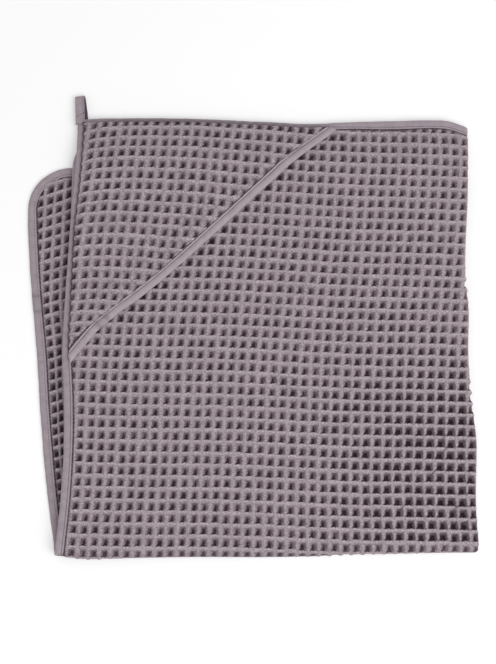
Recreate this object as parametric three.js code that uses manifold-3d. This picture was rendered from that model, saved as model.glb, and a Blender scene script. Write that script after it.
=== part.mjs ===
// Hooded bath towel of waffle cloth, folded in quarters and lying flat on a surface.
//
// Millimetres. +Z is up and the underside is at z = 0. The hood corner, with its hanging loop, is at
// -X +Y, the two folds are along +X and -Y. From the top the layers are: the upper panel with the
// hood, two hidden layers, and the lower panel, whose bound edge peeks out along -X.
// The towel's wall is laid out on the folded form by place(), and everything sewn to it is made from
// the same places, moved out.
import * as THREE from "three";
import { mergeVertices } from "three/addons/utils/BufferGeometryUtils.js";
import Module from "manifold-3d";

const wasm = await Module();
wasm.setup();

// Cloth and tape
const WAFFLE = 3.6; // thickness of the waffle cloth
const PRESSED = 1.0; // waffle cloth pressed flat inside the tape
const TAPE = 1.0; // thickness of the binding tape
const TAPE_WIDTH = 8.3; // tape that shows on each face
const GAP = 0.3; // air between neighbouring pieces
const PITCH = WAFFLE + GAP; // one layer of the stack
const LAYERS = 4;
const MIDDLE = (LAYERS * PITCH - GAP) / 2; // height of the plane between the two hidden layers

// Margins of a bound edge, from the edge of the tape inwards
const CLOTH_EDGE = TAPE + GAP; // where the pressed cloth ends inside the tape
const PRESSED_TO = TAPE_WIDTH + GAP; // where the cloth starts to swell
const SWOLLEN_FROM = PRESSED_TO + 2.2; // where it has its full thickness

// Folds
const ROLL = PITCH / 2 + WAFFLE / 2; // outer radius of the right fold
const WRAP = 1.5 * PITCH + WAFFLE / 2; // outer radius of the bottom fold
const RETURN = 6; // the upper panel's cloth that goes on past the right fold, under itself
const RETURN_AIR = 1; // from there to the hidden layers' edges
const GROOVE = 20; // depth of the slot between the edges of the two hidden layers

// Corners
const ROUND_CORNER = 42; // radius of the towel's three rounded corners
const HOOD_CORNER = 9; // radius of the hood corner
const UPPER_END = 197; // about where the upper panel's bound end lies
const BOTTOM_FOLD = -223; // about where the outside of the bottom fold lies
const LOWER_END = 152; // far end of the lower panel, which the upper panel hangs over
const HIDDEN_INSET = { upper: 10, lower: 4 }; // how far the hidden ends lie inside the visible ones
const HANG_FROM = LOWER_END + 2; // where the upper panel starts to drop to the surface
const HANG_LENGTH = 40;
const HANG_SLACK = 3; // most that the line where it drops comes nearer to the lower ends
const HANG_DROP = 2 * PITCH;

// Hood
const HOOD_LIFT = PITCH + 0.15; // from the middle of the panel to the middle of the hood
const HOOD_INSET = 4.5; // from the towel's edge to the hood's cloth, which bulges over the binding
const HOOD_EDGE_WALL = 1.4; // the hood's cloth where it is sewn down
const HOOD_SWELL = 7; // over this distance it grows to its full thickness

// Hanging loop
const LOOP_WIDTH = 10.4;
const LOOP_X = -165.4;
const LOOP_TIP = 223.6;
const LOOP_EYE = 4.8; // clear height of the eye

// The towel's side lines, a row for each distance up the towel: the bound left edge of the upper and
// of the lower panel, and the outside of the right fold.
const SIDES = [
  { at: 200, upper: -167, lower: -216.5, fold: 214 },
  { at: 165, upper: -167.7, lower: -216.7, fold: 212.3 },
  { at: 120, upper: -171.2, lower: -216.7, fold: 210.6 },
  { at: 60, upper: -175.1, lower: -213.8, fold: 207.4 },
  { at: 15, upper: -177.6, lower: -209.9, fold: 210 },
  { at: -30, upper: -179.1, lower: -205.2, fold: 208.8 },
  { at: -75, upper: -176.9, lower: -202, fold: 212.3 },
  { at: -115, upper: -176.5, lower: -198.5, fold: 215.2 },
  { at: -165, upper: -178.6, lower: -193.2, fold: 214 },
  { at: -222, upper: -184, lower: -185, fold: 216.8 },
];

// Its end lines, a row for each distance across: the bound end of the upper panel and the outside of
// the bottom fold.
const ENDS = [
  { at: -190, top: 197.5, bottom: -221 },
  { at: -155, top: 200.2, bottom: -225.4 },
  { at: -120, top: 200.9, bottom: -224.2 },
  { at: -60, top: 200.4, bottom: -222.8 },
  { at: 10, top: 197.4, bottom: -222.9 },
  { at: 60, top: 194.6, bottom: -222.6 },
  { at: 140, top: 197.5, bottom: -220.2 },
  { at: 190, top: 198, bottom: -218.8 },
  { at: 213, top: 190.5, bottom: -218.6 },
];

// How far the hidden layers' left edges lie inside the upper panel's. Near its far end the upper one
// peeks out past it.
const HIDDEN_SIDES = [
  { at: 150, upper: -3.2, lower: 5 },
  { at: 105, upper: -0.8, lower: 5 },
  { at: 60, upper: 1.2, lower: 4.5 },
  { at: -222, upper: 1.5, lower: 1.5 },
];

// The hood's diagonal edge, from its end on the top binding to its end on the left one.
const HOOD_DIAGONAL = [
  { at: 0, x: 84, y: 187.5 },
  { at: 1, x: 41, y: 154 },
  { at: 2, x: 21, y: 135.5 },
  { at: 3, x: -30, y: 88 },
  { at: 4, x: -83.5, y: 39.8 },
  { at: 5, x: -132.5, y: 1.7 },
  { at: 6, x: -148, y: -12.3 },
  { at: 7, x: -170, y: -39 },
];

const lerp = THREE.MathUtils.lerp;
const clamp = THREE.MathUtils.clamp;
const smooth = (value) => THREE.MathUtils.smoothstep(value, 0, 1);
const shares = (count) => Array.from({ length: count }, (_, i) => (i + 1) / count);

// A smooth line through one column of a table, read at a place between its rows.
function read(table, column, at) {
  const rising = table[1].at > table[0].at;
  const last = table.length - 1;
  let i = 0;
  while (i < last - 1 && (rising ? at > table[i + 1].at : at < table[i + 1].at)) i++;
  const here = table[i];
  const next = table[i + 1];
  const before = table[Math.max(i - 1, 0)];
  const after = table[Math.min(i + 2, last)];
  const slopeHere = (next[column] - before[column]) / (next.at - before.at);
  const slopeNext = (after[column] - here[column]) / (after.at - here.at);
  const span = next.at - here.at;
  const t = clamp((at - here.at) / span, 0, 1);
  const rise = next[column] - here[column];
  return (
    here[column] +
    rise * t * t * (3 - 2 * t) +
    span * (slopeHere * t * (1 - t) * (1 - t) - slopeNext * t * t * (1 - t))
  );
}

// The drop of the upper leaves past the lower ones' far ends. It follows the panel's own end line.
function hangAt(x, y) {
  const endBulge = Math.max(read(ENDS, "top", x) - UPPER_END, -HANG_SLACK);
  return HANG_DROP * smooth((y - endBulge - HANG_FROM) / HANG_LENGTH);
}

const foldStart = (y) => read(SIDES, "fold", y) - ROLL;
const wrapStart = (x) => read(ENDS, "bottom", x) + WRAP;
const BOTTOM = BOTTOM_FOLD + WRAP; // about where the bottom fold starts, for the side lines

// Where the left edge of a hidden layer lies.
const hiddenEdge = (y, layer) => read(SIDES, "upper", y) + read(HIDDEN_SIDES, layer, y);

// The two sheets of the folded towel. The outer one makes the upper panel, both folds and the lower
// panel, the inner one the two hidden layers. A leaf is the part of a sheet above or below.
const OUTER = {
  goesRound: true,
  upper: {
    left: (y) => read(SIDES, "upper", y),
    end: (x) => read(ENDS, "top", x),
    about: UPPER_END,
    corner: HOOD_CORNER,
  },
  lower: {
    left: (y) => read(SIDES, "lower", y),
    end: () => LOWER_END,
    about: LOWER_END,
    corner: ROUND_CORNER,
  },
};
const INNER = {
  goesRound: false,
  upper: {
    left: (y) => hiddenEdge(y, "upper"),
    end: (x) => read(ENDS, "top", x) - HIDDEN_INSET.upper,
    about: UPPER_END - HIDDEN_INSET.upper,
    corner: ROUND_CORNER,
  },
  lower: {
    left: (y) => hiddenEdge(y, "lower"),
    end: () => LOWER_END - HIDDEN_INSET.lower,
    about: LOWER_END - HIDDEN_INSET.lower,
    corner: ROUND_CORNER,
  },
};

// Turns a square corner's distances from its two edges into those of a round corner. A line that is
// parallel to the edges stays as far from them all the way round.
function roundCorner(fromLeft, fromEnd, radius) {
  const p = radius - fromLeft;
  const q = radius - fromEnd;
  if (p <= 0 || q <= 0) return [fromLeft, fromEnd];
  const reach = Math.max(p, q);
  const angle = ((Math.PI / 4) * Math.min(p, q)) / reach;
  const along = reach * Math.cos(angle);
  const aside = reach * Math.sin(angle);
  return p > q ? [radius - along, radius - aside] : [radius - aside, radius - along];
}

// A place on a sheet. `across` gives an inset from the left edge, then a share of the way from there
// to the right fold, then the turn round that fold and the way back from it. `down` gives the same
// from the far end to the bottom fold: its turn is 0 on the upper leaf and half a circle on the
// lower one. `out` is the distance out of the middle of the wall.
function place(sheet, across, down, out) {
  const leaf = down.turn < Math.PI / 2 ? sheet.upper : sheet.lower;
  const y0 = lerp(leaf.about - down.inset, BOTTOM, down.share);
  const left = leaf.left(y0);
  const fullX = lerp(left + across.inset, foldStart(y0) - across.back, across.share);
  const end = leaf.end(fullX);
  const fullY = lerp(end - down.inset, wrapStart(fullX), down.share);
  const [fromLeft, fromEnd] = roundCorner(fullX - left, end - fullY, leaf.corner);
  const reach = PITCH / 2 + out;
  const level = (sheet.goesRound ? PITCH : 0) + reach * Math.cos(across.turn);
  const x = left + fromLeft + reach * Math.sin(across.turn);
  const y = end - fromEnd - level * Math.sin(down.turn);
  const hang = down.turn === 0 ? hangAt(x, y) : 0;
  return new THREE.Vector3(x, y, MIDDLE + level * Math.cos(down.turn) - hang);
}

// Half the wall's thickness at a distance from the nearest bound edge.
function halfWall(fromEdge) {
  const swell = clamp((fromEdge - PRESSED_TO) / (SWOLLEN_FROM - PRESSED_TO), 0, 1);
  return lerp(PRESSED, WAFFLE, swell) / 2;
}

// Places across and down, close together at the bound edges, closest where the upper leaves drop to
// the surface, and wider inside.
const edgeLines = (count) => [
  CLOTH_EDGE,
  PRESSED_TO,
  ...shares(count).map((share) => lerp(SWOLLEN_FROM, ROUND_CORNER, share - 1 / count)),
  ROUND_CORNER,
];
const ACROSS_LINES = 4;
const DROP_LINES = 7; // near the upper leaves' ends, where they drop to the surface
const LEVEL_LINES = 3; // near the lower leaves' ends
const INSIDE_ACROSS = 5;
const INSIDE_DOWN = 8;
const NEAR_FOLD = [0.91, 0.95, 0.98]; // more lines across, where the ends dip to the right fold
const ROLL_STEPS = 5;
const WRAP_STEPS = 8;

const edgeAcross = edgeLines(ACROSS_LINES).map((inset) => ({ inset, share: 0, turn: 0, back: 0 }));
const insideShares = [...shares(INSIDE_ACROSS).slice(0, -1), ...NEAR_FOLD, 1];
const insideAcross = (back) =>
  insideShares.map((share) => ({ inset: ROUND_CORNER, share, turn: 0, back }));
const rollAcross = shares(ROLL_STEPS).map((share) => ({
  inset: ROUND_CORNER,
  share: 1,
  turn: Math.PI * share,
  back: 0,
}));
const returnAcross = { inset: ROUND_CORNER, share: 1, turn: Math.PI, back: RETURN };
const OUTER_ACROSS = [...edgeAcross, ...insideAcross(0), ...rollAcross, returnAcross];
const INNER_ACROSS = [...edgeAcross, ...insideAcross(RETURN + RETURN_AIR)];

const leafDown = (turn, edgeCount) => [
  ...edgeLines(edgeCount).map((inset) => ({ inset, share: 0, turn })),
  ...shares(INSIDE_DOWN).map((share) => ({ inset: ROUND_CORNER, share, turn })),
];
const UPPER_DOWN = leafDown(0, DROP_LINES);
const LOWER_DOWN = leafDown(Math.PI, LEVEL_LINES).reverse();
const WRAP_DOWN = shares(WRAP_STEPS)
  .slice(0, -1)
  .map((share) => ({ inset: ROUND_CORNER, share: 1, turn: Math.PI * share }));
const ALL_DOWN = [...UPPER_DOWN, ...WRAP_DOWN, ...LOWER_DOWN];

const fromEdge = (across, down) =>
  Math.min(across.share > 0 ? Infinity : across.inset, down.share > 0 ? Infinity : down.inset);

// A closed mesh from quads and triangles given by the numbers of their points.
function meshOf(points, faces) {
  const index = faces.flatMap((f) => (f.length === 4 ? [f[0], f[1], f[2], f[0], f[2], f[3]] : f));
  const geometry = new THREE.BufferGeometry().setFromPoints(points);
  geometry.setIndex(index);
  geometry.computeVertexNormals();
  return geometry;
}

// A wall with one grid of points on its outer face and one on its inner face, `wide` by `long`.
function wallGeometry(outer, inner, wide, long) {
  const count = wide * long;
  const faces = [];
  const at = (i, j) => j * wide + i;
  for (let j = 0; j < long - 1; j++) {
    for (let i = 0; i < wide - 1; i++) {
      const face = [at(i, j), at(i, j + 1), at(i + 1, j + 1), at(i + 1, j)];
      faces.push(face);
      faces.push(face.map((n) => n + count).reverse());
    }
  }
  const rim = [];
  for (let i = 0; i < wide - 1; i++) rim.push(at(i, 0));
  for (let j = 0; j < long - 1; j++) rim.push(at(wide - 1, j));
  for (let i = wide - 1; i > 0; i--) rim.push(at(i, long - 1));
  for (let j = long - 1; j > 0; j--) rim.push(at(0, j));
  rim.forEach((n, k) => {
    const next = rim[(k + 1) % rim.length];
    faces.push([n, next, next + count, n + count]);
  });
  return meshOf([...outer, ...inner], faces);
}

function sheetGeometry(sheet, acrossList, downList) {
  const side = (sign) =>
    downList.flatMap((down) =>
      acrossList.map((across) => place(sheet, across, down, sign * halfWall(fromEdge(across, down)))),
    );
  return wallGeometry(side(1), side(-1), acrossList.length, downList.length);
}

// The tape's section round a bound edge: distance in from its outside, and distance out of the
// middle of the cloth. It runs over the outer face, round the edge and along the inner face.
const HALF_BOUND = PRESSED / 2 + GAP + TAPE;
const TAPE_SECTION = [
  [TAPE_WIDTH, HALF_BOUND],
  [TAPE, HALF_BOUND],
  [0, HALF_BOUND - TAPE],
  [0, TAPE - HALF_BOUND],
  [TAPE, -HALF_BOUND],
  [TAPE_WIDTH, -HALF_BOUND],
  [TAPE_WIDTH, TAPE - HALF_BOUND],
  [TAPE, TAPE - HALF_BOUND],
  [TAPE, HALF_BOUND - TAPE],
  [TAPE_WIDTH, HALF_BOUND - TAPE],
];

// A tape along stations, each a function from a distance in and a distance out to a point.
function tapeGeometry(stations) {
  const ring = TAPE_SECTION.length;
  const points = stations.flatMap((station) => TAPE_SECTION.map(([inwards, out]) => station(inwards, out)));
  const faces = [];
  for (let s = 0; s < stations.length - 1; s++) {
    for (let k = 0; k < ring; k++) {
      const a = s * ring + k;
      const b = s * ring + ((k + 1) % ring);
      faces.push([a, b, b + ring, a + ring]);
    }
  }
  const legs = [
    [0, 1, 8, 9],
    [1, 2, 3, 8],
    [3, 4, 7, 8],
    [4, 5, 6, 7],
  ];
  const last = (stations.length - 1) * ring;
  legs.forEach((leg) => {
    faces.push([...leg].reverse());
    faces.push(leg.map((n) => n + last));
  });
  return meshOf(points, faces);
}

// Stations along a leaf's left edge, following the lines that its cloth has. Inside the round corner
// each line turns so that the tape keeps its width.
function cornerInset(inset, inwards, radius) {
  if (inset >= radius) return inset;
  return radius - ((radius - inwards) * (radius - inset)) / (radius - CLOTH_EDGE);
}
const leafOf = (sheet, turn) => (turn < Math.PI / 2 ? sheet.upper : sheet.lower);

function leftStation(sheet, down) {
  const radius = leafOf(sheet, down.turn).corner;
  return (inwards, out) => {
    const inset = down.share > 0 ? down.inset : cornerInset(down.inset, inwards, radius);
    return place(sheet, { inset: inwards, share: 0, turn: 0, back: 0 }, { ...down, inset }, out);
  };
}

function endStation(sheet, across, turn) {
  const radius = leafOf(sheet, turn).corner;
  return (inwards, out) => {
    const inset = across.share > 0 ? across.inset : cornerInset(across.inset, inwards, radius);
    return place(sheet, { ...across, inset }, { inset: inwards, share: 0, turn }, out);
  };
}

// A sheet's edge binding: along its upper end, down its left edge, round the bottom fold and along
// its lower end. The corners' own stations belong to the left edge.
function bindingGeometry(sheet, acrossList) {
  const ends = acrossList.filter((across) => across.share > 0 || across.inset > CLOTH_EDGE);
  const endAt = (turn) => ends.map((across) => endStation(sheet, across, turn));
  const left = ALL_DOWN.map((down) => leftStation(sheet, down));
  return tapeGeometry([...endAt(0).reverse(), ...left, ...endAt(Math.PI)]);
}

// A point over the upper panel, at a distance out of the middle of its wall.
function onUpperPanel(x, y, out) {
  return new THREE.Vector3(x, y, MIDDLE + 1.5 * PITCH + out - hangAt(x, y));
}

// The hood: each row of its cloth runs from the towel's left edge to the diagonal. The rows are
// close together where it drops to the surface.
const HOOD_END = HOOD_DIAGONAL.length - 1;
const HOOD_DROP_END = 1.9;
const HOOD_ROWS = [
  0,
  ...shares(13).map((share) => HOOD_DROP_END * share),
  ...shares(12).map((share) => lerp(HOOD_DROP_END, HOOD_END, share)),
];
const HOOD_EASE = 0.8; // more of the hood's edge is pressed flat, because the diagonal bends
const TIP_FROM = 20; // a row of the hood this wide is pressed flat, and one wider by TIP_OVER is not
const TIP_OVER = 25;
const HOOD_COLUMNS = 5; // between the sewn edge and the margin of the binding
const MARGIN_SHARE = 0.45; // most of a narrow row's width that its two margins take

// A point of the diagonal and the direction along it, towards its lower end.
function diagonalAt(along) {
  const step = 0.01;
  const point = (t) => new THREE.Vector2(read(HOOD_DIAGONAL, "x", t), read(HOOD_DIAGONAL, "y", t));
  const before = point(Math.max(along - step, 0));
  const after = point(Math.min(along + step, HOOD_END));
  return { at: point(along), tangent: after.sub(before).normalize() };
}

// A row of the hood. The first follows the towel's end line, the others soon run straight across.
function hoodRow(along) {
  const { at, tangent } = diagonalAt(along);
  const topRow = 1 - smooth(along / HOOD_DROP_END);
  const cornerY = read(ENDS, "top", SIDES[0].upper) - HOOD_INSET;
  const leftY = at.y + (cornerY - HOOD_DIAGONAL[0].y) * topRow;
  const leftX = read(SIDES, "upper", leftY) + HOOD_INSET;
  return { x: at.x, y: at.y, leftX, leftY, topRow, slant: 1 / Math.abs(tangent.y) };
}

function hoodPoint(row, x, out) {
  const across = (x - row.leftX) / (row.x - row.leftX);
  const straightTop = lerp(read(ENDS, "top", row.leftX), read(ENDS, "top", row.x), across);
  const rise = (read(ENDS, "top", x) - straightTop) * row.topRow;
  return onUpperPanel(x, lerp(row.leftY, row.y, across) + rise, out);
}

function hoodGeometry() {
  const rows = HOOD_ROWS.map(hoodRow);
  const columns = (row) => {
    const edge = row.x - CLOTH_EDGE * row.slant;
    const width = edge - row.leftX;
    const margins = [SWOLLEN_FROM, PRESSED_TO].map((d) => (d - CLOTH_EDGE) * row.slant);
    const fit = Math.min(1, (MARGIN_SHARE * width) / (margins[0] + HOOD_SWELL));
    const start = row.leftX + HOOD_SWELL * fit;
    const stop = edge - margins[0] * fit;
    return [
      row.leftX,
      ...shares(HOOD_COLUMNS).map((share) => lerp(start, stop, share - 1 / HOOD_COLUMNS)),
      ...margins.map((d) => edge - d * fit),
      edge,
    ];
  };
  const side = (sign) =>
    rows.flatMap((row, j) =>
      columns(row).map((x, i) => {
        const tip = clamp((row.x - row.leftX - TIP_FROM) / TIP_OVER, 0, 1);
        const inwards = (row.x - x) / row.slant - HOOD_EASE;
        const full = Math.min(halfWall(inwards), lerp(PRESSED, WAFFLE, tip) / 2);
        const sewn = (i === 0 || j === 0) && full > HOOD_EDGE_WALL / 2;
        const half = sewn ? HOOD_EDGE_WALL / 2 : full;
        const middle = HOOD_LIFT - (sewn ? (WAFFLE - HOOD_EDGE_WALL) / 2 : 0);
        return hoodPoint(row, x, middle + sign * half);
      }),
    );
  return wallGeometry(side(1), side(-1), columns(rows[0]).length, rows.length);
}

function hoodBindingGeometry() {
  const stations = HOOD_ROWS.map((along) => {
    const { at, tangent } = diagonalAt(along);
    return (inwards, out) =>
      onUpperPanel(at.x + tangent.y * inwards, at.y - tangent.x * inwards, HOOD_LIFT + out);
  });
  return tapeGeometry(stations.reverse());
}

// The two hidden layers are one solid: their sheet, filled inside with a slab that stops short of
// the bound edges and leaves a groove there.
function toSolid(geometry) {
  const bare = geometry.index ? geometry.toNonIndexed() : geometry.clone();
  bare.deleteAttribute("normal");
  bare.deleteAttribute("uv");
  const merged = mergeVertices(bare, 1e-4);
  return new wasm.Manifold(
    new wasm.Mesh({
      numProp: 3,
      vertProperties: new Float32Array(merged.attributes.position.array),
      triVerts: new Uint32Array(merged.index.array),
    }),
  );
}

function fromSolid(solid) {
  const mesh = solid.getMesh();
  const geometry = new THREE.BufferGeometry();
  geometry.setAttribute("position", new THREE.BufferAttribute(mesh.vertProperties, 3));
  geometry.setIndex(new THREE.BufferAttribute(mesh.triVerts, 1));
  geometry.computeVertexNormals();
  return geometry;
}

const FILL_HALF = 1.2; // half the slab's height, which ends inside both layers
const FILL_INSET = 4.5; // how far the slab's right edge lies inside the layers'
const FILL_STEPS = 6;

function fillGeometry() {
  const far = LOWER_END - HIDDEN_INSET.lower - GROOVE;
  const steps = [0, ...shares(FILL_STEPS)];
  const right = (y) => foldStart(y) - RETURN - FILL_INSET;
  const left = (y) => INNER.lower.left(y) + GROOVE;
  const near = steps.map((share) => {
    const x = lerp(left(BOTTOM), right(BOTTOM), share);
    return new THREE.Vector2(x, wrapStart(x) - FILL_HALF);
  });
  const heights = shares(FILL_STEPS).map((share) => lerp(BOTTOM, far, share));
  const outline = new THREE.Shape([
    ...near,
    ...heights.map((y) => new THREE.Vector2(right(y), y)),
    ...heights.reverse().map((y) => new THREE.Vector2(left(y), y)),
  ]);
  const slab = new THREE.ExtrudeGeometry(outline, { depth: 2 * FILL_HALF, bevelEnabled: false });
  return slab.translate(0, 0, MIDDLE - FILL_HALF);
}

function hiddenGeometry() {
  const leaves = toSolid(sheetGeometry(INNER, INNER_ACROSS, ALL_DOWN));
  return fromSolid(leaves.add(toSolid(fillGeometry())));
}

// The hanging loop, seen from its side: one leg lies on the hood corner's binding and the other under
// it. Past the edge they part round the eye, and the lower one lies on the surface.
const CORNER_MIDDLE = MIDDLE + 1.5 * PITCH - HANG_DROP; // middle of the wall at the hood corner
const LOOP_TOP = CORNER_MIDDLE + HALF_BOUND + GAP + TAPE / 2;
const LOOP_UNDER = CORNER_MIDDLE - HALF_BOUND - GAP - TAPE / 2;
const LOOP_LOW = TAPE / 2;
const LOOP_RADIUS = (LOOP_EYE + TAPE) / 2;
const LOOP_HIGH = LOOP_LOW + 2 * LOOP_RADIUS;
const LOOP_ARCH = 0.6; // how much higher the upper leg rises before it runs level
const LEG_STEPS = 12;
const TIP_STEPS = 8;

function loopGeometry() {
  const tipY = LOOP_TIP - LOOP_RADIUS - TAPE / 2;
  const point = (y, z) => new THREE.Vector3(LOOP_X, y, z);
  const edgeY = read(ENDS, "top", LOOP_X);
  const upper = new THREE.CatmullRomCurve3([
    point(edgeY - 3.4, LOOP_TOP),
    point(edgeY + 1, LOOP_TOP),
    point(edgeY + 7, LOOP_HIGH + LOOP_ARCH),
    point(edgeY + 13, LOOP_HIGH),
    point(tipY, LOOP_HIGH),
  ]);
  const lower = new THREE.CatmullRomCurve3([
    point(tipY, LOOP_LOW),
    point(edgeY + 9, LOOP_LOW),
    point(edgeY + 4, (LOOP_LOW + LOOP_UNDER) / 2),
    point(edgeY - 3, LOOP_UNDER),
    point(edgeY - 8, LOOP_UNDER),
  ]);
  const tip = shares(TIP_STEPS).map((share) => {
    const angle = Math.PI / 2 - Math.PI * share;
    return point(
      tipY + LOOP_RADIUS * Math.cos(angle),
      LOOP_LOW + LOOP_RADIUS * (1 + Math.sin(angle)),
    );
  });
  const leg = (curve) =>
    curve.getPoints(LEG_STEPS).map((p) => point(p.y, Math.max(p.z, LOOP_LOW)));
  const middle = [...leg(upper), ...tip.slice(0, -1), ...leg(lower)];
  const side = (sign) =>
    middle.map((p, k) => {
      const a = middle[Math.max(k - 1, 0)];
      const b = middle[Math.min(k + 1, middle.length - 1)];
      const run = new THREE.Vector2(b.y - a.y, b.z - a.z).normalize();
      return new THREE.Vector2(p.y + (sign * run.y * TAPE) / 2, p.z - (sign * run.x * TAPE) / 2);
    });
  const outline = new THREE.Shape([...side(1), ...side(-1).reverse()]);
  const strip = new THREE.ExtrudeGeometry(outline, { depth: LOOP_WIDTH, bevelEnabled: false });
  // The outline's x and y become the towel's y and z.
  const turned = new THREE.Matrix4().makeBasis(
    new THREE.Vector3(0, 1, 0),
    new THREE.Vector3(0, 0, 1),
    new THREE.Vector3(1, 0, 0),
  );
  return strip.applyMatrix4(turned).translate(LOOP_X - LOOP_WIDTH / 2, 0, 0);
}

const waffleCotton = { color: "#93868d", roughness: 0.95, metalness: 0 };
const tapeCotton = { color: "#988c92", roughness: 0.9, metalness: 0 };

function piece(name, geometry, finish) {
  const mesh = new THREE.Mesh(geometry, new THREE.MeshStandardMaterial(finish));
  mesh.name = name;
  return mesh;
}

const towel = new THREE.Group();
towel.name = "hooded_towel";
towel.add(
  piece("towel_cloth", sheetGeometry(OUTER, OUTER_ACROSS, ALL_DOWN), waffleCotton),
  piece("hidden_layers", hiddenGeometry(), waffleCotton),
  piece("edge_binding", bindingGeometry(OUTER, OUTER_ACROSS), tapeCotton),
  piece("hidden_binding", bindingGeometry(INNER, INNER_ACROSS), tapeCotton),
  piece("hood", hoodGeometry(), waffleCotton),
  piece("hood_binding", hoodBindingGeometry(), tapeCotton),
  piece("hanging_loop", loopGeometry(), tapeCotton),
);

export default towel;
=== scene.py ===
"""Hooded bath towel of waffle cloth, folded in quarters and lying flat.

The shapes are worked out in millimetres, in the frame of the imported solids, and turned to metres
where each mesh is finished. The cloth is woven as a grid of cells on the flat towel, which is then
laid round the right and the bottom fold.
"""
from math import cos, pi, radians, sin

import bmesh
import bpy
import numpy as np
from mathutils import Matrix, Vector


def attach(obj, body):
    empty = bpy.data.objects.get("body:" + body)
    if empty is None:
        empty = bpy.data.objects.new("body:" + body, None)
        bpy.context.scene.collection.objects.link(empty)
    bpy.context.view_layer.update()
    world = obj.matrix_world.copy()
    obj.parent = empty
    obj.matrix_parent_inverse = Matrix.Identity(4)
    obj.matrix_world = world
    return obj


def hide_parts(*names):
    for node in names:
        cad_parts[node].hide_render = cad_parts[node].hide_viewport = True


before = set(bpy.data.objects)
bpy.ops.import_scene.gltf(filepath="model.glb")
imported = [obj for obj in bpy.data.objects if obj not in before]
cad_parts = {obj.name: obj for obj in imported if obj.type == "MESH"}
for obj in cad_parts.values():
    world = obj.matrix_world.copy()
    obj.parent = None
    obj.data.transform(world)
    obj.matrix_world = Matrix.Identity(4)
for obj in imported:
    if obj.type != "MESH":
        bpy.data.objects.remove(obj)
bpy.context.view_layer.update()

MM = 0.001

# ---------------------------------------------------------------- cloth and tape, in millimetres
WAFFLE = 3.6  # thickness of the waffle cloth
GAP = 0.3  # air between neighbouring pieces
PITCH = WAFFLE + GAP  # one layer of the stack
MIDDLE = (4 * PITCH - GAP) / 2  # height of the plane between the two hidden layers
TAPE_WIDTH = 8.3  # tape that shows on each face
CLOTH_SKIN = 0.55  # the cloth itself is this thin, and its relief makes up the rest
TAPE_SKIN = 0.5
LOOP_SKIN = 0.9

# Folds. Lengths along the cloth go round each by the radius of the wall's middle.
ROLL_START = PITCH / 2 + WAFFLE / 2  # the right fold starts this far inside its outer line
WRAP_START = 1.5 * PITCH + WAFFLE / 2
ROLL_MIDDLE = 2.9  # the right fold's
WRAP_MIDDLE = 6.9  # the bottom fold's
RETURN = 6  # cloth that goes on past the right fold, under itself
SHORT = 1  # the cloth's mesh stops this far short of its hidden end there

# Ends and corners. Past the lower leaves' end the upper ones hang down onto the floor.
UPPER_END = 197
LOWER_END = 152
ROUND_CORNER = 42
HOOD_CORNER = 9
HANG_FROM = LOWER_END + 2
HANG_LENGTH = 40
HANG_SLACK = 3  # where the end falls short of that line, the slope moves in with it by this at most
HANG_DROP = 2 * PITCH

# The towel's side lines: the bound left edge of the upper and of the lower panel, and the outside
# of the right fold, at distances up the towel.
SIDES = [
    dict(at=200, upper=-168.1, lower=-216.5, fold=214),
    dict(at=165, upper=-168.2, lower=-216.7, fold=212.3),
    dict(at=120, upper=-171.2, lower=-216.7, fold=210.6),
    dict(at=60, upper=-175.1, lower=-213.8, fold=207.4),
    dict(at=15, upper=-177.6, lower=-209.9, fold=210),
    dict(at=-30, upper=-179.1, lower=-205.2, fold=208.8),
    dict(at=-75, upper=-176.9, lower=-202, fold=212.3),
    dict(at=-115, upper=-176.5, lower=-198.5, fold=215.2),
    dict(at=-165, upper=-178.6, lower=-193.2, fold=214),
    dict(at=-222, upper=-184, lower=-185, fold=216.8),
]
# Its end lines: the bound end of the upper panel and the outside of the bottom fold, at distances
# across.
ENDS = [
    dict(at=-190, top=197.5, bottom=-221),
    dict(at=-155, top=200.2, bottom=-225.4),
    dict(at=-120, top=200.9, bottom=-224.2),
    dict(at=-60, top=200.4, bottom=-222.8),
    dict(at=10, top=197.4, bottom=-222.9),
    dict(at=60, top=195.0, bottom=-222.6),
    dict(at=98, top=197.0, bottom=-221.2),
    dict(at=140, top=197.8, bottom=-220.2),
    dict(at=190, top=198.5, bottom=-218.8),
    dict(at=213, top=191.6, bottom=-218.6),
]
# How far the hidden layers' left edges lie inside the upper panel's, or outside it below 0.
HIDDEN_SIDES = [
    dict(at=172, upper=-0.2, lower=5),
    dict(at=160, upper=-2.4, lower=5),
    dict(at=150, upper=-3.2, lower=5),
    dict(at=105, upper=-0.8, lower=5),
    dict(at=60, upper=1.2, lower=4.5),
    dict(at=-222, upper=1.5, lower=1.5),
]
HIDDEN_INSET = dict(upper=10, lower=4)
# Past the hood's end the top binding rolls out of sight, and shows narrower.
ROLLED_TAPE = [
    dict(at=30, by=0), dict(at=55, by=1.4), dict(at=75, by=2.1), dict(at=100, by=1.3),
    dict(at=120, by=0.5), dict(at=145, by=0),
]
# Painted shade on the top binding where it stands up against the hood's bulging end.
BINDING_SHADE = [
    dict(at=-168, by=0.1), dict(at=-130, by=0.48), dict(at=10, by=0.45), dict(at=60, by=0.32),
    dict(at=78, by=0),
]
# The hood's diagonal edge, from the top binding to the left one.
HOOD_DIAGONAL = [
    dict(at=0, x=84, y=187.5),
    dict(at=1, x=41, y=154),
    dict(at=2, x=21, y=135.5),
    dict(at=3, x=-30, y=88),
    dict(at=4, x=-83.5, y=39.8),
    dict(at=5, x=-132.5, y=1.7),
    dict(at=6, x=-148, y=-12.3),
    dict(at=7, x=-170, y=-39),
]
HOOD_LIFT = PITCH + 0.15  # from the middle of the panel to the middle of the hood
HOOD_TOP_INSET = 4.5  # from the towel's end to the hood's cloth, which bulges over the binding
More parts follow.
